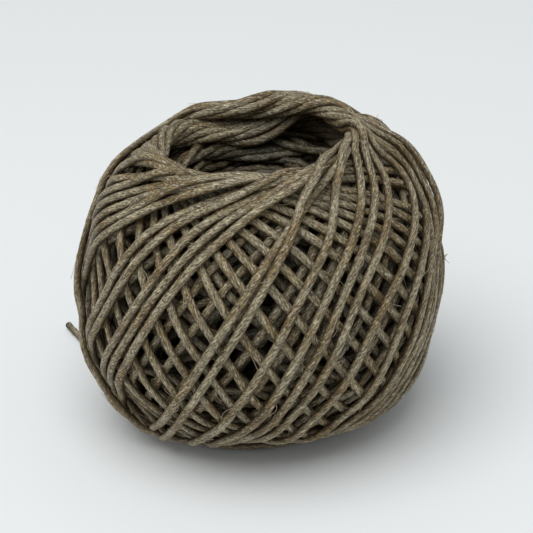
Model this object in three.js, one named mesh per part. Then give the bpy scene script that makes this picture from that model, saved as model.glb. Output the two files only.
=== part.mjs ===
// A ball of waxed hemp twine, wound on a spindle so that an open core runs right through it.
// Every turn is close to a great circle that touches the rim of the mouth at each end.
// Millimetres, +Z up. The origin is on the axis, at the level of the face the ball stands on.
import * as THREE from 'three';
import { ParametricGeometry } from 'three/addons/geometries/ParametricGeometry.js';
import { mergeVertices } from 'three/addons/utils/BufferGeometryUtils.js';

const ballRadius = 30; // centre to the outermost turns
const centreHeight = 24.3; // centre of the ball above the face it stands on
const rimAngle = 31; // degrees from the axis to the rim of each mouth
const waistRadius = 9.5; // narrowest place of the core
const funnelPower = 3; // how late the core opens towards each mouth

const twistCount = 36; // main twists that run from mouth to mouth
const twistRelief = 0.35; // half the height of a twist above the hollow beside it
const stepsPerTwist = 4; // grid lines across one twist
const outerSteps = 20; // grid rows from the lower rim to the upper rim
const coreSteps = 9; // grid rows back down through the core

const twineDiameter = 1.3;
const twineSides = 8;
const looseEndStep = 2.5; // twine diameters between two sections of the loose end

// The loose end lies on the floor: it comes out under the ball's side and runs off behind it.
const looseEndRoute = [
  // x, y, z of the twine's middle
  { x: -19.75, y: -4.2, z: 0.8 },
  { x: -20.6, y: -1.9, z: 0.72 },
  { x: -21.5, y: 0.4, z: 0.68 },
  { x: -22.5, y: 2.7, z: 0.68 },
  { x: -23.6, y: 5.0, z: 0.68 },
  { x: -24.8, y: 7.2, z: 0.68 },
  { x: -26.1, y: 9.4, z: 0.68 },
  { x: -27.4, y: 11.6, z: 0.68 },
  { x: -28.6, y: 13.8, z: 0.68 },
  { x: -29.8, y: 16.1, z: 0.68 },
  { x: -30.9, y: 18.4, z: 0.68 },
  { x: -32.0, y: 20.7, z: 0.68 },
  { x: -33.1, y: 23.0, z: 0.68 },
  { x: -34.3, y: 25.3, z: 0.68 },
  { x: -35.5, y: 27.7, z: 0.68 },
];

const hemp = new THREE.MeshStandardMaterial({ color: 0x9a8b70, roughness: 0.7, metalness: 0 });

const radians = THREE.MathUtils.degToRad;
const rimRadius = ballRadius * Math.sin(radians(rimAngle));
const rimHeight = ballRadius * Math.cos(radians(rimAngle));

// One point of a turn's outer half: phase runs from -90 degrees at the lower rim to 90 at the upper one.
function pointOnTurn(phase, relief) {
  const tilt = radians(90 - rimAngle);
  const latitude = Math.asin(Math.sin(tilt) * Math.sin(phase));
  const sweep = Math.atan2(Math.cos(tilt) * Math.sin(phase), Math.cos(phase));
  const radius = ballRadius + relief * Math.cos(phase);
  return { sweep, radius: radius * Math.cos(latitude), height: radius * Math.sin(latitude) };
}

// One point of the core's wall: depth runs from 0 at the upper rim to 1 at the lower one.
function pointOnCore(depth, relief) {
  const level = Math.cos(Math.PI * depth);
  const flare = Math.abs(level) ** funnelPower;
  const radius = waistRadius + (rimRadius - waistRadius) * flare - relief * (1 - flare);
  return { sweep: Math.PI * (0.5 + depth), radius, height: rimHeight * level };
}

// The wound form: its grid lines follow the turns, so the twists run as the twine does.
function makeWoundBall() {
  const rows = outerSteps + coreSteps;
  const surface = (turn, along, target) => {
    const row = along * rows;
    const relief = twistRelief * (Math.cos(2 * Math.PI * twistCount * turn) - 1);
    const outside = row <= outerSteps;
    const point = outside
      ? pointOnTurn(Math.PI * (row / outerSteps - 0.5), relief)
      : pointOnCore((row - outerSteps) / coreSteps, relief);
    const azimuth = 2 * Math.PI * turn + point.sweep;
    const height = Math.max(centreHeight + point.height, 0); // the small flat that it stands on
    target.set(point.radius * Math.cos(azimuth), point.radius * Math.sin(azimuth), height);
  };
  const sheet = new ParametricGeometry(surface, twistCount * stepsPerTwist, rows);
  sheet.deleteAttribute('normal');
  sheet.deleteAttribute('uv');
  const closed = mergeVertices(sheet, 1e-4);
  closed.computeVertexNormals();
  const ball = new THREE.Mesh(closed, hemp);
  ball.name = 'wound_ball';
  return ball;
}

function makeLooseEnd() {
  const route = new THREE.CatmullRomCurve3(looseEndRoute.map((p) => new THREE.Vector3(p.x, p.y, p.z)));
  const section = new THREE.Shape();
  for (let side = 0; side < twineSides; side += 1) {
    const turn = (2 * Math.PI * side) / twineSides;
    const corner = [Math.cos(turn) * twineDiameter / 2, Math.sin(turn) * twineDiameter / 2];
    if (side === 0) section.moveTo(...corner);
    else section.lineTo(...corner);
  }
  section.closePath();
  const steps = Math.round(route.getLength() / (looseEndStep * twineDiameter));
  const tube = new THREE.ExtrudeGeometry(section, { extrudePath: route, steps, bevelEnabled: false });
  const looseEnd = new THREE.Mesh(tube, hemp);
  looseEnd.name = 'loose_end';
  return looseEnd;
}

const group = new THREE.Group();
group.add(makeWoundBall(), makeLooseEnd());

export default group;
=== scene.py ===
import math

import bmesh
import bpy
import numpy as np
from mathutils import Matrix, Vector


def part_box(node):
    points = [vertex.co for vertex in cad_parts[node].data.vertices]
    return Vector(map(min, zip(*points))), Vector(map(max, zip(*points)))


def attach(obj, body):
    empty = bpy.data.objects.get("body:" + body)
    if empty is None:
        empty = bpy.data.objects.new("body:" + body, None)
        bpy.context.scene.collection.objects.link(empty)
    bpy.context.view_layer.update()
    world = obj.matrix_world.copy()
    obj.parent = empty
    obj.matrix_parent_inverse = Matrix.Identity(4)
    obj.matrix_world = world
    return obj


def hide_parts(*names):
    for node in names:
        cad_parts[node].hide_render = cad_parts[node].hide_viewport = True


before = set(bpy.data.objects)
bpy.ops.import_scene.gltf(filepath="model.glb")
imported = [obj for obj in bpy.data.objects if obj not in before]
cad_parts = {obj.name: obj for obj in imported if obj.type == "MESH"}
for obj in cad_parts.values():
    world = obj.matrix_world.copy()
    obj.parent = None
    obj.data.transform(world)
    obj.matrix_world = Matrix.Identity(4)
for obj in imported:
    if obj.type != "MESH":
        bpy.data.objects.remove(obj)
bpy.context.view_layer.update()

mm = 0.001
scene = bpy.context.scene

# the ball's place and size come from its CAD node
ballLow, ballHigh = (Vector(corner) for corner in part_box("wound_ball"))
ball = {
    "radius": (ballHigh.x - ballLow.x) / 2 / mm,
    "height": (ballHigh.z - ballLow.z) / mm,
    "rimAngle": 31.0,  # degrees from the axis to the rim of each mouth
    "swells": [  # the ball isn't quite round: azimuth, latitude and width in degrees, height in mm
        {"azimuth": 18, "latitude": 30, "width": 30, "height": 1.1},
        {"azimuth": 36, "latitude": 47, "width": 10, "height": -0.5},
        {"azimuth": 26, "latitude": 39, "width": 10, "height": 1.0},
        {"azimuth": -157, "latitude": -36, "width": 29, "height": 2.4},
        {"azimuth": 112, "latitude": 58, "width": 26, "height": -1.7},
        {"azimuth": 60, "latitude": 58, "width": 12, "height": 0.5},
        {"azimuth": 88, "latitude": 62, "width": 12, "height": -0.35},
        {"azimuth": 168, "latitude": 25, "width": 16, "height": -1.0},
        {"azimuth": -34, "latitude": -46, "width": 20, "height": 0.8},
        {"azimuth": -96, "latitude": -46, "width": 16, "height": -0.7},
        {"azimuth": 8, "latitude": -17, "width": 9, "height": 0.4},
    ],
}
ball["centreHeight"] = ball["height"] - ball["radius"] * math.cos(math.radians(ball["rimAngle"]))
centre = (ballLow + ballHigh) / 2
centre.z = ballLow.z + ball["centreHeight"] * mm

twine = {
    "diameter": 1.3,  # mm
    "lobes": 3,  # the plies
    "lobeDepth": 0.02,  # mm, the hollow between two plies
    "lead": 16.0,  # mm of twine for one turn of its twist
    "slub": 0.07,  # how much thicker and thinner it gets
    "slubLengths": (3.7, 9.1, 23.0),  # mm, of the waves in which it does
    "wide": 1.13,  # how wide and how thick it is, in diameters, where tension presses it flat on the ball
    "thick": 0.88,
}


# the camera, in front of the ball and above it
view = {
    "elevation": 28.0,  # degrees
    "lean": 3.0,  # degrees that upright things lean to the left
    "distance": 300.0,  # mm to the middle of the ball
    "lens": 123.7,  # mm
    "shift": (0.0122, 0.0103),
}


def makeCamera():
    rise, lean = math.radians(view["elevation"]), math.radians(view["lean"])
    towards = Vector((0, -math.cos(rise), math.sin(rise)))
    level = Vector((1, 0, 0))
    upright = towards.cross(level)
    right = level * math.cos(lean) - upright * math.sin(lean)
    up = level * math.sin(lean) + upright * math.cos(lean)
    data = bpy.data.cameras.new("camera")
    data.lens = view["lens"]
    data.shift_x, data.shift_y = view["shift"]
    data.clip_start, data.clip_end = 0.02, 10
    camera = bpy.data.objects.new("camera", data)
    turn = Matrix((right, up, towards)).transposed().to_4x4()
    camera.matrix_world = Matrix.Translation(centre + towards * view["distance"] * mm) @ turn
    scene.collection.objects.link(camera)
    scene.camera = camera


makeCamera()
print("camera placed")


# twine: every strand is a curve with a small section swept along it
def makeSection(name, sides, lobeDepth, diameter):
    section = bpy.data.curves.new(name, "CURVE")
    section.dimensions = "2D"
    outline = section.splines.new("POLY")
    outline.points.add(sides - 1)
    outline.use_cyclic_u = True
    for corner in range(sides):
        angle = 2 * math.pi * corner / sides
        reach = diameter / 2 - lobeDepth * (0.5 - 0.5 * math.cos(twine["lobes"] * angle))
        outline.points[corner].co = (reach * math.cos(angle) * mm, reach * math.sin(angle) * mm, 0, 1)
    profile = bpy.data.objects.new(name, section)
    scene.collection.objects.link(profile)
    profile.hide_render = True
    return profile


def sectionPoints(profile):
    return np.array([point.co[:2] for point in profile.data.splines[0].points]) / mm


def alongLength(path):
    steps = np.linalg.norm(np.diff(path, axis=0), axis=1)
    return np.concatenate([[0.0], np.cumsum(steps)])


def openSide(path):
    # the way to the open air: away from the centre, or towards the axis for twine in the wall of a mouth
    rim = math.radians(ball["rimAngle"])
    across = np.hypot(path[:, 0], path[:, 1])
    behind = across * math.cos(rim) - np.abs(path[:, 2]) * math.sin(rim)
    radius = np.linalg.norm(path, axis=1)
    outward = path / radius[:, None]
    inward = np.stack([-path[:, 0] / across * math.cos(rim), -path[:, 1] / across * math.cos(rim),
                       np.sign(path[:, 2]) * math.sin(rim)], 1)
    inWall = np.clip((ball["radius"] - radius - behind) / twine["diameter"], 0, 1)[:, None]
    side = outward * (1 - inWall) + inward * inWall
    # twine that lies on the floor beside the ball is open at its top
    onFloor = (path[:, 2] < 1.5 * twine["diameter"] - ball["centreHeight"]) & (radius > ball["radius"])
    side[onFloor] = (0, 0, 1)
    return side / np.linalg.norm(side, axis=1, keepdims=True)


# a strand is its points in mm from the ball's centre, the length of twine before the first one, and how
# deep each point is buried, in mm
def sweepStrands(name, strands, profile):
    curve = bpy.data.curves.new(name, "CURVE")
    curve.dimensions = "3D"
    curve.bevel_mode = "OBJECT"
    curve.bevel_object = profile
    for path, before, buried in strands:
        along = before + alongLength(path)
        spline = curve.splines.new("POLY")
        spline.points.add(len(path) - 1)
        places = np.ones((len(path), 4))
        places[:, :3] = path * mm + np.array(centre)
        spline.points.foreach_set("co", places.ravel())
        spline.points.foreach_set("tilt", 2 * math.pi * along / twine["lead"])
        waves = [np.sin(along / length + start) for start, length in enumerate(twine["slubLengths"])]
        spline.points.foreach_set("radius", 1 + twine["slub"] * sum(waves) / len(waves))
    holder = bpy.data.objects.new(name + "_curve", curve)
    scene.collection.objects.link(holder)
    graph = bpy.context.evaluated_depsgraph_get()
    mesh = bpy.data.meshes.new_from_object(holder.evaluated_get(graph))
    bpy.data.objects.remove(holder)
    mesh.name = name
    return mesh


def markFibres(mesh, strands, section):
    # each vertex keeps its place in the section and along the twine, and how deep it is buried, in mm
    rings = np.concatenate([before + alongLength(path) for path, before, buried in strands])
    depths = np.concatenate([buried for path, before, buried in strands])
    if len(mesh.vertices) != len(rings) * len(section):
        raise ValueError(f"{mesh.name}: {len(mesh.vertices)} vertices, {len(rings)} x {len(section)} rings")
    fibre = np.zeros((len(rings), len(section), 3), dtype=np.float32)
    fibre[:, :, :2] = section[None]
    fibre[:, :, 2] = rings[:, None]
    depths = np.repeat(depths.astype(np.float32), len(section))
    mesh.attributes.new("fibre", "FLOAT_VECTOR", "POINT").data.foreach_set("vector", fibre.ravel())
    mesh.attributes.new("buried", "FLOAT", "POINT").data.foreach_set("value", depths)


def pressFlat(mesh, strands, section, wide, thick):
    corners = np.empty(len(mesh.vertices) * 3)
    mesh.vertices.foreach_get("co", corners)
    corners = corners.reshape(-1, len(section), 3)
    middles = corners.mean(1, keepdims=True)
    away = corners - middles
    side = np.concatenate([openSide(path) for path, before, buried in strands])[:, None]
    through = (away * side).sum(2, keepdims=True)
    # each vertex keeps how far it faces the open air, from -1 to 1
    facing = (through / np.linalg.norm(away, axis=2, keepdims=True)).astype(np.float32)
    mesh.attributes.new("facing", "FLOAT", "POINT").data.foreach_set("value", facing.ravel())
    # twine gets wider along the ball's surface and thinner through it, and stays above the floor
    corners = middles + wide * away + (thick - wide) * through * side
    corners[:, :, 2] = np.maximum(corners[:, :, 2], 0)
    mesh.vertices.foreach_set("co", corners.ravel())


def closeEnds(mesh):
    shape = bmesh.new()
    shape.from_mesh(mesh)
    openEdges = [edge for edge in shape.edges if edge.is_boundary]
    bmesh.ops.holes_fill(shape, edges=openEdges, sides=0)
    bmesh.ops.recalc_face_normals(shape, faces=shape.faces[:])
    shape.to_mesh(mesh)
    shape.free()


def meshStrands(name, strands, profile, wide=1.0, thick=1.0):
    section = sectionPoints(profile)
    mesh = sweepStrands(name, strands, profile)
    markFibres(mesh, strands, section)
    pressFlat(mesh, strands, section, wide, thick)
    closeEnds(mesh)
    piece = bpy.data.objects.new(name, mesh)
    scene.collection.objects.link(piece)
    return piece


# the loose end, from the ball's foot out along the floor
looseEnd = {
    "route": [  # mm from the origin
        (-19.75, -4.2, 0.8), (-20.6, -1.9, 0.72), (-21.5, 0.4, 0.68), (-22.5, 2.7, 0.68),
        (-23.6, 5.0, 0.68), (-24.8, 7.2, 0.68), (-26.1, 9.4, 0.68), (-27.4, 11.6, 0.68),
        (-28.6, 13.8, 0.68), (-29.8, 16.1, 0.68), (-30.9, 18.4, 0.68), (-32.0, 20.7, 0.68),
        (-33.1, 23.0, 0.68), (-34.3, 25.3, 0.68), (-35.5, 27.7, 0.68),
    ],
    "patternStart": 12.0,  # mm along the pattern of brown and grey lengths, so that a grey one shows
}
fineSection = makeSection("fine_section", 12, twine["lobeDepth"], twine["diameter"])
plainSection = makeSection("plain_section", 9, twine["lobeDepth"], twine["diameter"])
coarseSection = makeSection("coarse_section", 6, 0, twine["diameter"])


def makeLooseEnd():
    route = np.array(looseEnd["route"])
    origin = np.array(centre) / mm
    piece = meshStrands("loose_end_twine", [(route - origin, looseEnd["patternStart"], np.zeros(len(route)))],
                        fineSection)
    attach(piece, "root")
    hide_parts("loose_end")
    return piece


looseEndPiece = makeLooseEnd()
print("loose end laid")


# the winding: turns are laid one after another, each one settling on those below it
winding = {
    "step": 0.75,  # mm between two points of a turn
    "turnSpacing": 4.6,  # mm between two turns of a layer, half way between the mouths
    "spread": 0.25,  # how unevenly the outer turns are spaced
    "innerSpread": 0.3,  # and the inner ones
    "coreRadius": 11.0,  # mm, the former on which the winding starts, which is drawn out at the end
    "innerRadius": 25.3,  # mm, where the inner turns end
    "outerRadius": 27.0,  # mm, the middle of the outer turns
    "innerTurns": 150,
    "innerReach": 0.75,  # how far from the axis the tops of the inner turns are, in radii
    "firstRimAngle": 50.0,  # degrees from the axis to the rim of the very first turn
    "innerRimAngle": 33.0,  # degrees from the axis that the inner turns stay clear of
    "innerMostAngle": 74.0,  # and the widest that they are laid
    "rimStep": 4.0,  # degrees between the angles that are tried for an inner turn
    "evenness": 0.6,  # how much even ground counts in that choice, beside low ground
    "middleRimAngle": 36.0,  # the oldest outer turns leave a wider mouth
    "narrowing": (-300.0, -250.0),  # which narrows to the ball's own between these azimuths of their tops
    "hollow": 9.0,  # degrees, how much wider still the mouth is on one side
    "hollowAzimuth": 65.0,
    "firstTop": -480.0,  # degrees, the azimuth at the top of the oldest outer turn
    "strayAt": (-480.0, -240.0, -120.0, -100.0),  # rims of the turns with these azimuths
    "stray": (3.0, 0.8, 0.8, 0.0),  # stray by so many degrees
    "drawnWidth": 30.0,  # degrees of a turn over which it is drawn round at its rim
    "bowWidth": 20.0,  # and over which it bows
    "taut": 6,  # how often a turn is drawn straight over low ground before it settles
    "tailAt": 0.74,  # the part of the last turn that is wound before it leaves the ball
    "seed": 11,
}
# The last turns, oldest first, all in degrees: the azimuth at the top of each, how far its top was drawn
# round the rim, the angle from the axis to its rim, how far it bows aside on its way down, and how far down
# that is.
lateTurns = [  # azimuth, drawn round, rim angle, bow, place of the bow
    (-235, 0, 31, 0, 36), (-224, 0, 31, 0, 36), (-214, 0, 31, 0, 36), (-205, 0, 31, 0, 36),
    (-197, 0, 31, 0, 36), (-187, 0, 32, 0, 36), (-176, 0, 33, 0, 36), (-166, 0, 34, 0, 36),
    (-156, 0, 34, 0, 36), (-146, 0, 34, 0, 36), (-136, 0, 34, 0, 36), (-127, 0, 34, 0, 36),
    (-119, 0, 34, 0, 36), (-111, 0, 34, 0, 36), (-104, 0, 34, 0, 36), (-97, 0, 34, 0, 36),
    (-90, 0, 34, 0, 36), (-85, 0, 34, 0, 36), (-64, 0, 34, -10, 36), (-60.5, 0, 34, -9, 36),
    (-50, 0, 34, -9, 36), (-46, 0, 33, -4.5, 36), (-41.6, 0, 33, -1, 36),
    (-18, 0, 33, 1, 36), (-13.5, -27, 32, 0, 36), (0.5, -20, 32, 5, 36), (9.5, -18, 31, 19, 27),
    (15.5, -16, 31, 22, 29), (21.5, -16, 31, 25, 34), (31.5, -17, 31, 31, 46), (44.5, -22, 30, 31, 50),
    (55, -22, 30, 24, 50), (61, -18, 30, 14, 50), (68, -12, 30, 5, 50), (75, -6, 30, 0, 36),
    (83, 0, 29, 0, 36), (91, 0, 28, 0, 36), (98, 0, 29, 0, 36), (105, 0, 30, 0, 36), (111, 0, 30, 0, 36),
]


class LaidTwine:
    # the points laid so far, in a grid of cells so that near ones are found quickly
    def __init__(self, cell=1.6, half=36.0, room=14):
        self.cell, self.half = cell, half
        self.count = int(math.ceil(2 * half / cell)) + 2
        self.room = room
        self.index = np.full((self.count ** 3, room), -1, dtype=np.int32)
        self.filled = np.zeros(self.count ** 3, dtype=np.int32)
        self.points = np.zeros((60000, 3))  # more than a ball holds
        self.used = 0
        around = np.arange(-1, 2)
        a, b, c = np.meshgrid(around, around, around, indexing="ij")
        self.around = ((a * self.count + b) * self.count + c).ravel()

    def cells(self, points):
        q = ((points + self.half) / self.cell).astype(np.int64) + 1
        return (q[:, 0] * self.count + q[:, 1]) * self.count + q[:, 2]

    def add(self, points):
        first = self.used
        self.points[first:first + len(points)] = points
        self.used += len(points)
        for number, cell in enumerate(self.cells(points)):
            if self.filled[cell] < self.room:
                self.index[cell, self.filled[cell]] = first + number
                self.filled[cell] += 1

    def near(self, points, reach, most=48):
        cells = self.cells(points)[:, None] + self.around[None, :]
        found = self.index[cells].reshape(len(points), -1)
        apart = np.linalg.norm(self.points[found] - points[:, None, :], axis=2)
        apart = np.where(found >= 0, apart, 1e9)
        order = np.argsort(apart, axis=1)[:, :most]
        found = np.take_along_axis(found, order, 1)
        return found, np.take_along_axis(apart, order, 1) < reach


def turnDirections(crest, phase, rim):
    # unit vectors of a great circle whose crest is at azimuth crest, rim away from the axis
    top = np.stack([np.cos(crest) * np.sin(rim), np.sin(crest) * np.sin(rim), np.cos(rim)], -1)
    side = np.stack([np.sin(crest), -np.cos(crest), np.zeros_like(crest)], -1)
    return np.cos(phase)[:, None] * top + np.sin(phase)[:, None] * side


def straighten(path, held, weight):
    middle = 0.5 * (path[:-2] + path[2:])
    path[held:-1] += weight * (middle[held - 1:] - path[held:-1])


def pushApart(path, held, laid, found, close, gap, strength):
    # moves the points that are nearer to laid twine than the gap
    apart = path[:, None, :] - laid.points[found]
    distance = np.linalg.norm(apart, axis=2) + 1e-9
    overlap = np.where(close, np.clip(gap[:, None] - distance, 0, None), 0)
    weight = overlap / (overlap.sum(1, keepdims=True) + 1e-9)
    path[held:] += strength * (apart / distance[..., None] * (overlap * weight)[..., None]).sum(1)[held:]


settling = {
    "press": 0.1,  # how far two turns press into each other, in diameters
    "rimPress": 0.15,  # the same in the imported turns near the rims
    "hold": 0.06,  # how well friction keeps a turn where it was laid
    "rimHold": 0.02,  # the same for the outer turns near the rims
    "rimFrom": 38.0,  # degrees of latitude where the turns start to be packed
    "rimFade": 18.0,  # and over which they become so
    "rounds": 44,
    "lookEvery": 6,  # rounds, after which laid twine is looked for again
    "pull": 0.09,  # mm that a turn sinks in the first round
    "tension": 4,  # how often a round straightens it
    "push": 1.3,  # how hard the laid twine pushes it off
    "lastPushes": (0.8, 0.5, 0.0),
    "stiffness": 24,  # passes that take short kinks out of a settled turn
    "smoothing": (0.5, -0.52),  # a pass straightens it and undoes that, which keeps the long bends
    "reach": 2.6,  # mm, how near laid twine is looked for
}


def settle(path, guide, laid, gap, hold, held):
    coreRadius = winding["coreRadius"] + twine["diameter"] / 2
    for number in range(settling["rounds"]):
        if number % settling["lookEvery"] == 0:
            found, close = laid.near(path, settling["reach"])
        for _ in range(settling["tension"]):
            straighten(path, held, 0.5)
        radius = np.linalg.norm(path, axis=1, keepdims=True)
        sink = settling["pull"] * (1 - number / settling["rounds"]) ** 1.5
        path[held:] -= (sink * path / radius)[held:]
        path[held:] += (hold[:, None] * (guide * radius - path))[held:]
        pushApart(path, held, laid, found, close, gap, settling["push"])
        radius = np.linalg.norm(path, axis=1, keepdims=True)
        path[:] = np.where(radius < coreRadius, path * coreRadius / radius, path)
    for strength in settling["lastPushes"]:
        for _ in range(settling["stiffness"]):
            for weight in settling["smoothing"]:
                straighten(path, held, weight)
        found, close = laid.near(path, settling["reach"])
        pushApart(path, held, laid, found, close, gap, strength)
    return path


def planTurns(draw):
    # the tops, rims and bows of all turns, oldest first; the inner ones get their rims as they are laid
    tops, drawnRound, lateRims, bows, bowPlaces = (list(column) for column in zip(*lateTurns))
    spacing = winding["turnSpacing"]
    outerReach = winding["outerRadius"] * math.cos(math.radians(ball["rimAngle"]))
    top = tops[0]
    while top > winding["firstTop"]:
        top -= math.degrees(spacing / outerReach) * draw.uniform(1 - winding["spread"], 1 + winding["spread"])
        tops.insert(0, top)
    for number in range(winding["innerTurns"]):
        depth = number / winding["innerTurns"]
        radius = winding["innerRadius"] * (1 - depth) + winding["coreRadius"] * depth
        uneven = draw.uniform(1 - winding["innerSpread"], 1 + winding["innerSpread"])
        top -= math.degrees(spacing / (winding["innerReach"] * radius)) * uneven
        tops.insert(0, top)
    tops = np.array(tops)
    early = len(tops) - len(lateTurns)
    hollows = winding["hollow"] * (0.5 + 0.5 * np.cos(np.radians(tops - winding["hollowAzimuth"]))) ** 4
    rims = np.interp(tops, winding["narrowing"], [winding["middleRimAngle"], ball["rimAngle"]])
    rims += hollows * np.interp(tops, winding["narrowing"], [1, 0])
    rims[early:] = lateRims
    rims += draw.uniform(-1, 1, len(tops)) * np.interp(tops, winding["strayAt"], winding["stray"])
    rims[:winding["innerTurns"]] = np.nan
    rims[:2] = winding["firstRimAngle"]
    return {
        "tops": np.radians(tops),
        "rims": np.radians(rims),
        "hollows": hollows,
        "drawnRound": np.radians([0] * early + drawnRound),
        "bows": np.radians([0] * early + bows),
        "bowPlaces": [bowPlaces[0]] * early + bowPlaces,
    }


def topAlong(plan, progress, phase):
    # the azimuth of the top that each point of a turn goes with: it moves on from turn to turn, and is
    # shifted where the turn is drawn round at its rim and where it bows aside below the rim
    order = np.arange(len(plan["tops"]))
    turned = (np.degrees(phase) + 180) % 360 - 180
    top = np.interp(progress - 0.5, order, plan["tops"])
    drawn = np.interp(progress - 0.25, order, plan["drawnRound"])
    top += drawn * np.exp(-(turned / winding["drawnWidth"]) ** 2)
    fromBow = (turned - np.interp(progress - 0.5, order, plan["bowPlaces"])) / winding["bowWidth"]
    return top + np.interp(progress - 0.5, order, plan["bows"]) * np.exp(-fromBow ** 2)


class Heights:
    # how high the winding reaches in each direction, in bins of azimuth and latitude
    def __init__(self, binSize=2):
        self.binSize = binSize
        self.columns, self.rows = 360 // binSize, 180 // binSize
        self.level = np.full((self.columns, self.rows), winding["coreRadius"])

    def bins(self, directions):
        azimuth = np.degrees(np.arctan2(directions[:, 1], directions[:, 0])) % 360
        latitude = np.degrees(np.arcsin(np.clip(directions[:, 2], -1, 1))) + 90
        column = (azimuth / self.binSize).astype(int) % self.columns
        return column, (latitude / self.binSize).astype(int).clip(0, self.rows - 1)

    def middle(self):
        # between 50 degrees south and north
        return self.level[:, 40 // self.binSize:140 // self.binSize]

    def along(self, directions):
        return self.level[self.bins(directions)]

    def highestAlong(self, directions):
        column, row = self.bins(directions)
        around = [(i, j) for i in (-1, 0, 1) for j in (-1, 0, 1)]
        return np.maximum.reduce([self.level[(column + i) % self.columns, (row + j).clip(0, self.rows - 1)]
                                  for i, j in around])

    def raiseTo(self, path):
        radius = np.linalg.norm(path, axis=1)
        np.maximum.at(self.level, self.bins(path / radius[:, None]), radius + 0.4 * twine["diameter"])


def lowestRim(draw, heights, top, phase, hollow):
    # an inner turn goes where the ball is lowest and most even
    best = None
    step = winding["rimStep"]
    for angle in np.arange(winding["innerRimAngle"] + hollow, winding["innerMostAngle"], step):
        rim = math.radians(angle + draw.uniform(-step / 2, step / 2))
        level = heights.along(turnDirections(top, phase, np.full(len(phase), rim)))
        score = level.mean() + winding["evenness"] * np.abs(level - level.mean()).mean()
        if best is None or score < best:
            best, bestRim = score, rim
    return bestRim


def layOn(heights, guide):
    # a turn before it settles: it lies on the highest twine below it, and doesn't dip between high places
    level = heights.highestAlong(guide) + twine["diameter"] / 2
    for _ in range(winding["taut"]):
        level = np.maximum(level, 0.5 * (np.roll(level, 1) + np.roll(level, -1)))
    return guide * level[:, None]


def windBall():
    draw = np.random.default_rng(winding["seed"])
    plan = planTurns(draw)
    rims = plan["rims"]
    laid = LaidTwine()
    heights = Heights()
    shared = 4  # points that a turn shares with the one before
    spare = 10  # points past its end, which the next turn lays again
    turns = []
    for number in range(len(rims) - 1):
        count = int(2 * math.pi * np.median(heights.middle()) / winding["step"])
        first = shared if turns else 0
        progress = number + np.arange(-first, count + spare) / count
        phase = 2 * math.pi * progress - math.pi / 2
        top = topAlong(plan, progress, phase)
        if np.isnan(rims[number + 1]):
            rims[number + 1] = lowestRim(draw, heights, top, phase, plan["hollows"][number + 1])
        rim = np.interp(progress - 0.5, np.arange(number + 2), rims[:number + 2])
        guide = turnDirections(top, phase, rim)
        path = layOn(heights, guide)
        if turns:
            path[:shared] = turns[-1][-shared:]
        # turns are packed near the rims, where they press harder and are held less
        latitude = np.degrees(np.arcsin(np.abs(guide[:, 2])))
        packed = np.clip((latitude - settling["rimFrom"]) / settling["rimFade"], 0, 1)
        press = settling["press"] + (settling["rimPress"] - settling["press"]) * packed
        easing = (settling["rimHold"] - settling["hold"]) * packed * (number > winding["innerTurns"])
        gap = twine["diameter"] * (1 - press)
        path = settle(path, guide, laid, gap, settling["hold"] + easing, max(first, 1))
        path = path[first:-spare]
        laid.add(path)
        heights.raiseTo(path)
        turns.append(path)
    return turns


def swellAt(azimuth, latitude):
    rise = np.zeros_like(azimuth)
    for swell in ball["swells"]:
        up = math.radians(swell["latitude"])
        cosine = np.sin(latitude) * math.sin(up)
        cosine += np.cos(latitude) * math.cos(up) * np.cos(azimuth - math.radians(swell["azimuth"]))
        away = np.degrees(np.arccos(np.clip(cosine, -1, 1))) / swell["width"]
        rise += swell["height"] * np.exp(-away ** 2)
    return rise


rounding = {
    "columns": 36,  # the surface is measured at so many azimuths
    "rows": 15,  # and latitudes
    "reach": 10.0,  # degrees around each
    "share": 93,  # percent of the twine there lies below the surface
    "footShare": 0.28,  # the part of the ball's height below its centre that is squeezed flat at the foot
    # the extra depth down a mouth gives its wall more painted shade
    "mouthShare": 0.35,  # how much of the depth down a mouth counts as depth in the winding
}


def measureSurface(azimuth, latitude, radius, steepest):
    columns, rows, reach = rounding["columns"], rounding["rows"], math.radians(rounding["reach"])
    azimuths = np.arange(columns) * 2 * math.pi / columns
    latitudes = np.linspace(-steepest, steepest, rows)
    level = np.zeros((columns, rows))
    for column in range(columns):
        turned = (azimuth - azimuths[column] + math.pi) % (2 * math.pi) - math.pi
        for row in range(rows):
            aside = turned * math.cos(latitudes[row])
            here = radius[aside ** 2 + (latitude - latitudes[row]) ** 2 < reach ** 2]
            level[column, row] = np.percentile(here, rounding["share"])
    for _ in range(2):
        level = (np.roll(level, 1, 0) + 2 * level + np.roll(level, -1, 0)) / 4
        padded = np.pad(level, ((0, 0), (1, 1)), mode="edge")
        level = (padded[:, :-2] + 2 * level + padded[:, 2:]) / 4
    print("surface before rounding, from foot to top:", level.mean(0).round(1))
    return level


def surfaceAlong(azimuth, latitude, level, steepest):
    # the height of the surface between the places where it was measured
    columns, rows = level.shape
    across = azimuth % (2 * math.pi) / (2 * math.pi) * columns
    up = (np.clip(latitude, -steepest, steepest) + steepest) / (2 * steepest) * (rows - 1)
    column, row = across.astype(int) % columns, np.minimum(up.astype(int), rows - 2)
    after = (column + 1) % columns
    aside, above = across - across.astype(int), up - row
    return ((1 - aside) * (1 - above) * level[column, row] + aside * (1 - above) * level[after, row]
            + (1 - aside) * above * level[column, row + 1] + aside * above * level[after, row + 1])


def squeezeFoot(height):
    # twine that would reach below the floor is squeezed up to it
    foot = ball["centreHeight"] - twine["diameter"] / 2
    squeeze = rounding["footShare"] * foot
    low = np.clip((-height - (foot - squeeze)) / squeeze, 0, None)
    squeezed = -(foot - squeeze) - squeeze * np.where(low < 2, low - 0.25 * low ** 2, 1)
    return np.where(low > 0, np.maximum(squeezed, -foot), height)


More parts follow.
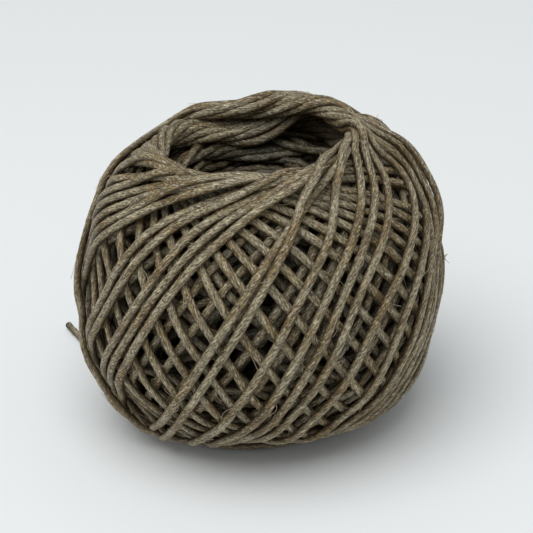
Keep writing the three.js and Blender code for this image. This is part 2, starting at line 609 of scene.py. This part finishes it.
def roundOff(turns):
    # the finished ball is pressed into shape: its surface is brought to the ball's radius and swells, and
    # its foot flattened
    points = np.concatenate(turns)
    radius = np.linalg.norm(points, axis=1)
    azimuth = np.arctan2(points[:, 1], points[:, 0])
    latitude = np.arcsin(points[:, 2] / radius)
    steepest = math.radians(90 - ball["rimAngle"])
    level = measureSurface(azimuth, latitude, radius, steepest)
    surface = surfaceAlong(azimuth, latitude, level, steepest)
    reachable = ball["radius"] - twine["diameter"] / 2 + swellAt(azimuth, latitude)
    points = points * (reachable / surface)[:, None]
    # how deep each point lies, below the surface or behind the wall of a mouth; twine far down in a mouth
    # counts as a little deeper, so that it gets more painted shade
    rim = math.radians(ball["rimAngle"])
    behind = np.hypot(points[:, 0], points[:, 1]) * math.cos(rim) - np.abs(points[:, 2]) * math.sin(rim)
    below = reachable - np.linalg.norm(points, axis=1)
    buried = np.minimum(below, np.maximum(behind, 0) + rounding["mouthShare"] * below)
    points[:, 2] = squeezeFoot(points[:, 2])
    lengths = np.cumsum([len(turn) for turn in turns])[:-1]
    return np.split(points, lengths), np.split(buried, lengths)


def layTail(turn):
    # the last turn leaves the foot and goes round it, along the floor, to where the loose end starts
    loose = np.array(looseEnd["route"][:2]) - np.array(centre) / mm
    kept = turn[:int(winding["tailAt"] * len(turn))]
    ends = np.array([kept[-1], loose[0]])
    azimuths = np.unwrap(np.arctan2(ends[:, 1], ends[:, 0]))
    reaches = np.hypot(ends[:, 0], ends[:, 1])
    swept = azimuths[1] - azimuths[0]
    count = int(abs(swept) * reaches.mean() / winding["step"])
    part = np.linspace(0, 1, count + 1)[1:]
    ease = part ** 2 * (3 - 2 * part)
    outward = np.hypot(*loose[1, :2]) - reaches[1]  # how fast the loose end draws away
    turning = abs(math.atan2(loose[1, 1], loose[1, 0]) % (2 * math.pi) - azimuths[1] % (2 * math.pi))
    azimuth = azimuths[0] + swept * part
    reach = reaches[0] + (reaches[1] - reaches[0]) * ease
    reach += outward / turning * abs(swept) * (part ** 3 - part ** 2)
    rise = kept[-1, 2] + (loose[0, 2] - kept[-1, 2]) * ease
    tail = np.stack([reach * np.cos(azimuth), reach * np.sin(azimuth), rise], 1)
    return np.concatenate([kept, tail])


turns, depths = roundOff(windBall())
turns[-1] = layTail(turns[-1])
depths[-1] = np.resize(depths[-1], len(turns[-1]))  # the tail lies as shallow as the turn that it ends
twineLength = sum(alongLength(turn)[-1] for turn in turns)
print(f"{len(turns)} turns wound, {twineLength / 1000:.1f} m of twine")


def joinTurns(first, last, stride):
    # the turns are one strand, so a piece of them is one path that overlaps the next by a point
    strand = np.concatenate(turns[first:last] + [turn[:1] for turn in turns[last:last + 1]])
    buried = np.concatenate(depths[first:last] + [depth[:1] for depth in depths[last:last + 1]])
    before = sum(alongLength(turn)[-1] + winding["step"] for turn in turns[:first])
    kept = np.append(np.arange(0, len(strand) - 1, stride), len(strand) - 1)
    return strand[kept], before, buried[kept]


pieces = {  # first and last turn, section, and every how many points
    "core_turns": (0, 100, coarseSection, 3),
    "inner_turns": (100, 150, plainSection, 2),
    "deep_turns": (150, 168, plainSection, 1),
    "lower_turns": (168, 184, fineSection, 1),
    "upper_turns": (184, 198, fineSection, 1),
    "last_turns": (198, len(turns), fineSection, 1),
}
strandPieces = []
for name, (first, last, profile, stride) in pieces.items():
    piece = meshStrands(name, [joinTurns(first, last, stride)], profile, twine["wide"], twine["thick"])
    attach(piece, "root")
    strandPieces.append(piece)
    print(name, "has", len(piece.data.polygons), "faces")
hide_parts("wound_ball")


# loose fibres that stand off the twine
fibres = {
    "count": 1700,
    "firstTurn": 150,  # the inner turns have none
    "shortest": 0.8,  # mm
    "longest": 3.6,
    "longAreRare": 2.5,  # the power that makes most of them short
    "diameter": 0.08,
    "flatLift": 0.05,  # how far the tip stands off, in lengths, where the outermost twine is rubbed flat
    "lift": 0.45,  # and where it lies deeper
    "rubbedDepth": 0.8,  # mm, down to which the twine is rubbed flat
    "deepest": 3.5,  # mm
    "rootDepth": 0.45,  # diameters of the twine from its middle to a fibre's root
    "points": 6,
    "tuft": {  # a small one, at the side
        "azimuth": 2, "latitude": 1, "count": 5, "lengths": (0.6, 1.2), "lifts": (0.4, 0.8),
    },
    "colour": "#b3a688",
    "seed": 4,
}


def bendFibre(draw, middle, out, along, length, lift):
    # it springs from the twine's surface, runs forwards or back along it, and rises, bends and curls
    forward = along * draw.choice([-1, 1])
    aside = np.cross(out, forward)
    spin = draw.uniform(-1.2, 1.2)
    rootDepth = fibres["rootDepth"] * twine["diameter"]
    start = middle + rootDepth * (math.cos(spin) * out + math.sin(spin) * aside)
    part = np.linspace(0, 1, fibres["points"])[:, None]
    bend, curl = draw.uniform(-0.5, 0.5), draw.uniform(-0.25, 0.25)
    path = start + length * (forward * part * (1 - 0.3 * lift) + out * lift * part ** 1.4
                             + aside * (bend * part ** 2 + curl * np.sin(3 * part)))
    path[:, 2] = np.maximum(path[:, 2], fibres["diameter"] - ball["centreHeight"])
    return path


def makeFibres():
    draw = np.random.default_rng(fibres["seed"])
    strand = np.concatenate(turns[fibres["firstTurn"]:])
    along = np.gradient(strand, axis=0)
    along /= np.linalg.norm(along, axis=1, keepdims=True)
    outward = strand / np.linalg.norm(strand, axis=1, keepdims=True)
    buried = np.concatenate(depths[fibres["firstTurn"]:])
    roots = list(draw.choice(np.flatnonzero(buried < fibres["deepest"]), fibres["count"]))
    tuft = fibres["tuft"]
    azimuth, latitude = math.radians(tuft["azimuth"]), math.radians(tuft["latitude"])
    tuftPlace = np.array([math.cos(azimuth) * math.cos(latitude), math.sin(azimuth) * math.cos(latitude),
                          math.sin(latitude)])
    roots += [int(np.argmax(strand @ tuftPlace))] * tuft["count"]
    strands = []
    for number, root in enumerate(roots):
        longer = draw.random() ** fibres["longAreRare"]
        length = fibres["shortest"] + (fibres["longest"] - fibres["shortest"]) * longer
        lift = fibres["flatLift" if buried[root] < fibres["rubbedDepth"] else "lift"] * draw.uniform(0.2, 1.0)
        if number >= fibres["count"]:
            length, lift = draw.uniform(*tuft["lengths"]), draw.uniform(*tuft["lifts"])
        path = bendFibre(draw, strand[root], outward[root], along[root], length, lift)
        strands.append((path, 0.0, np.zeros(len(path))))
    return strands


hairSection = makeSection("hair_section", 3, 0, fibres["diameter"])
fibrePiece = meshStrands("loose_fibres", makeFibres(), hairSection)
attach(fibrePiece, "root")
print("loose fibres have", len(fibrePiece.data.polygons), "faces")


# the linear colour of an sRGB code
def linear(code):
    channels = [int(code[i:i + 2], 16) / 255 for i in (1, 3, 5)]
    return [c / 12.92 if c <= 0.04045 else ((c + 0.055) / 1.055) ** 2.4 for c in channels] + [1.0]


def addNode(tree, kind, settings=None, inputs=None, stops=()):
    # an input is a value, a socket, or a node whose enabled output is linked; stops are for a ramp
    node = tree.nodes.new(kind)
    for key, value in (settings or {}).items():
        setattr(node, key, value)
    for key, value in (inputs or {}).items():
        socket = node.inputs[key]
        if isinstance(key, str):  # of several inputs with one name, the enabled one is meant
            socket = next(entry for entry in node.inputs if entry.name == key and entry.enabled)
        if isinstance(value, bpy.types.Node):
            value = next(output for output in value.outputs if output.enabled)
        if isinstance(value, bpy.types.NodeSocket):
            tree.links.new(value, socket)
        else:
            socket.default_value = value
    for number, (position, code) in enumerate(stops):
        if number > 1:  # a new ramp has two stops
            node.color_ramp.elements.new(position)
        node.color_ramp.elements[number].position = position
        node.color_ramp.elements[number].color = linear(code)
    return node


def newMaterial(name):
    material = bpy.data.materials.new(name)
    material.use_nodes = True
    material.node_tree.nodes.clear()
    return material, material.node_tree


hempFinish = {
    # patterns have a size across the twine and along it, in mm, then detail and roughness; single hemp
    # fibres are about 0.03 mm wide, and are drawn coarser so that they show
    "streaks": (0.23, 1.7, 3.0, 0.66),
    "specks": (0.14, 0.5, 1.0, 0.5),
    "flecksAndGlints": (0.16, 0.7, 1.0, 0.5),
    "lengths": (3.0, 12.0, 2.0, 0.5),
    "brown": ((0.3, "#524429"), (0.5, "#806c47"), (0.7, "#ab9362")),
    "grey": ((0.3, "#645a47"), (0.5, "#9b9074"), (0.7, "#cbbf9f")),
    "greyLengths": ((0.48, "#000000"), (0.64, "#ffffff")),
    # the open side's greyness is partly rubbed wear and partly a painted sheen
    "rubbedAndSheen": 0.1,  # how much the open side is greyer than the sides
    "darkSpecks": ((0.38, "#827b6f"), (0.5, "#d2cec6"), (0.6, "#ffffff")),
    # pale flecks: partly pale fibres, partly painted glints
    "paleFlecksAndGlints": ((0.59, "#000000"), (0.68, "#c0c0c0")),
    "fleckAndGlintColour": "#e4dcc4",
    # painted shade, darkest on the sides of the twine where other twine crowds it
    "sideShade": ((0.0, "#b1a99d"), (0.55, "#efece8"), (0.85, "#ffffff")),  # from the sides to the open side
    "depthShade": ((0.0, "#ffffff"), (1.0, "#b4b8be")),
    "shadeDepths": (1.9, 5.0),  # mm
    "bump": 0.08,  # mm
    "bumpSpecks": 0.7,  # how much the specks count in it, beside the streaks
    "specksBetween": (0.35, 0.65),  # the roughness goes with the specks, between these values of their noise
    "roughness": (0.42, 0.66),
    "ior": 1.45,  # wax
}


def waxedHemp():
    # hemp bast fibre, spun and drawn through wax: dull brown and grey lengths, fine dark and pale fibres
    # that follow the twist, and a soft shine; painted shade darkens the sides and the deeper turns, the open
    # side is greyer partly with a painted sheen, and some pale flecks are painted glints
    material, tree = newMaterial("waxed hemp twine")
    place = addNode(tree, "ShaderNodeAttribute", {"attribute_name": "fibre"}).outputs["Vector"]
    facing = addNode(tree, "ShaderNodeAttribute", {"attribute_name": "facing"}).outputs["Fac"]
    buried = addNode(tree, "ShaderNodeAttribute", {"attribute_name": "buried"}).outputs["Fac"]

    def grain(across, along, detail, roughness):
        stretched = addNode(tree, "ShaderNodeVectorMath", {"operation": "MULTIPLY"},
                            {0: place, 1: (1 / across, 1 / across, 1 / along)})
        return addNode(tree, "ShaderNodeTexNoise", None,
                       {"Vector": stretched, "Scale": 1.0, "Detail": detail, "Roughness": roughness})

    streaks = grain(*hempFinish["streaks"])
    specks = grain(*hempFinish["specks"])
    flecksAndGlints = grain(*hempFinish["flecksAndGlints"])
    lengths = grain(*hempFinish["lengths"])
    mixing = {"data_type": "RGBA"}
    multiplying = {"data_type": "RGBA", "blend_type": "MULTIPLY"}

    # brown lengths and grey ones, and the open side is greyer too, partly rubbed and partly a painted sheen
    # of the sky
    brown = addNode(tree, "ShaderNodeValToRGB", None, {"Fac": streaks}, hempFinish["brown"])
    grey = addNode(tree, "ShaderNodeValToRGB", None, {"Fac": streaks}, hempFinish["grey"])
    wornAndSheen = addNode(tree, "ShaderNodeMath", {"operation": "MULTIPLY_ADD"},
                   {0: facing, 1: hempFinish["rubbedAndSheen"], 2: lengths})
    greyness = addNode(tree, "ShaderNodeValToRGB", None, {"Fac": wornAndSheen}, hempFinish["greyLengths"])
    body = addNode(tree, "ShaderNodeMix", mixing, {"Factor": greyness, "A": brown, "B": grey})

    # dark specks, and pale flecks that are partly pale fibres and partly painted glints
    dark = addNode(tree, "ShaderNodeValToRGB", None, {"Fac": specks}, hempFinish["darkSpecks"])
    body = addNode(tree, "ShaderNodeMix", multiplying, {"Factor": 1.0, "A": body, "B": dark})
    pale = addNode(tree, "ShaderNodeValToRGB", None, {"Fac": flecksAndGlints}, hempFinish["paleFlecksAndGlints"])
    body = addNode(tree, "ShaderNodeMix", mixing,
                   {"Factor": pale, "A": body, "B": linear(hempFinish["fleckAndGlintColour"])})

    # painted shade: the sides of the twine, where other twine crowds it, are darker, and so are the deeper
    # turns, which light hardly reaches
    sideShade = addNode(tree, "ShaderNodeValToRGB", None, {"Fac": facing}, hempFinish["sideShade"])
    body = addNode(tree, "ShaderNodeMix", multiplying, {"Factor": 1.0, "A": body, "B": sideShade})
    shallow, deep = hempFinish["shadeDepths"]
    depth = addNode(tree, "ShaderNodeMapRange", None,
                    {"Value": buried, "From Min": shallow, "From Max": deep})
    shade = addNode(tree, "ShaderNodeValToRGB", None, {"Fac": depth}, hempFinish["depthShade"])
    body = addNode(tree, "ShaderNodeMix", multiplying, {"Factor": 1.0, "A": body, "B": shade})

    # raised fibres, and a shine that comes and goes with the wax
    height = addNode(tree, "ShaderNodeMath", {"operation": "MULTIPLY_ADD"},
                     {0: specks, 1: hempFinish["bumpSpecks"], 2: streaks})
    bump = addNode(tree, "ShaderNodeBump", None,
                   {"Height": height, "Distance": hempFinish["bump"] * mm, "Strength": 1.0})
    low, high = hempFinish["specksBetween"]
    smooth, rough = hempFinish["roughness"]
    gloss = addNode(tree, "ShaderNodeMapRange", None,
                    {"Value": specks, "From Min": low, "From Max": high, "To Min": smooth, "To Max": rough})
    shader = addNode(tree, "ShaderNodeBsdfPrincipled", None,
                     {"Base Color": body, "Roughness": gloss, "Normal": bump, "IOR": hempFinish["ior"]})
    addNode(tree, "ShaderNodeOutputMaterial", None, {"Surface": shader})
    return material


def combedHemp():
    # single hemp fibres: pale, thin and a little shiny
    material, tree = newMaterial("combed hemp fibre")
    shader = addNode(tree, "ShaderNodeBsdfPrincipled", None,
                     {"Base Color": linear(fibres["colour"]), "Roughness": 0.5, "IOR": 1.5})
    addNode(tree, "ShaderNodeOutputMaterial", None, {"Surface": shader})
    return material


hemp = waxedHemp()
fibrePiece.data.materials.clear()
fibrePiece.data.materials.append(combedHemp())
for piece in strandPieces + [looseEndPiece]:
    piece.data.materials.clear()
    piece.data.materials.append(hemp)


# the studio: a floor, a plain sky and one soft lamp
studio = {
    "floor": "#e9ebeb",
    "floorSize": 3.0,  # m, half a side
    "sky": (0.94, 0.98, 1.0, 1.0),
    "skyStrength": 0.5,
    "lampSize": 0.8,  # m
    "lampPower": 4.5,
    "lampPlace": (-0.13, -0.19, 0.72),  # m from the middle of the ball
}


def paleFloor():
    # matt white card, even and without a shine
    material, tree = newMaterial("pale floor")
    shader = addNode(tree, "ShaderNodeBsdfPrincipled", None,
                     {"Base Color": linear(studio["floor"]), "Roughness": 0.8})
    addNode(tree, "ShaderNodeOutputMaterial", None, {"Surface": shader})
    return material


def makeStage():
    shape = bmesh.new()
    bmesh.ops.create_grid(shape, x_segments=1, y_segments=1, size=studio["floorSize"])
    mesh = bpy.data.meshes.new("floor")
    shape.to_mesh(mesh)
    shape.free()
    mesh.materials.append(paleFloor())
    floor = bpy.data.objects.new("floor", mesh)
    scene.collection.objects.link(floor)

    world = bpy.data.worlds.new("studio")
    scene.world = world
    world.use_nodes = True
    background = world.node_tree.nodes["Background"]
    background.inputs["Color"].default_value = studio["sky"]
    background.inputs["Strength"].default_value = studio["skyStrength"]

    lamp = bpy.data.lights.new("lamp", "AREA")
    lamp.shape = "DISK"
    lamp.size = studio["lampSize"]
    lamp.energy = studio["lampPower"]
    holder = bpy.data.objects.new("lamp", lamp)
    towards = Vector(studio["lampPlace"])
    facing = towards.to_track_quat("Z", "Y").to_matrix().to_4x4()
    holder.matrix_world = Matrix.Translation(centre + towards) @ facing
    scene.collection.objects.link(holder)


makeStage()
scene.view_settings.view_transform = "Standard"
print("studio lit")
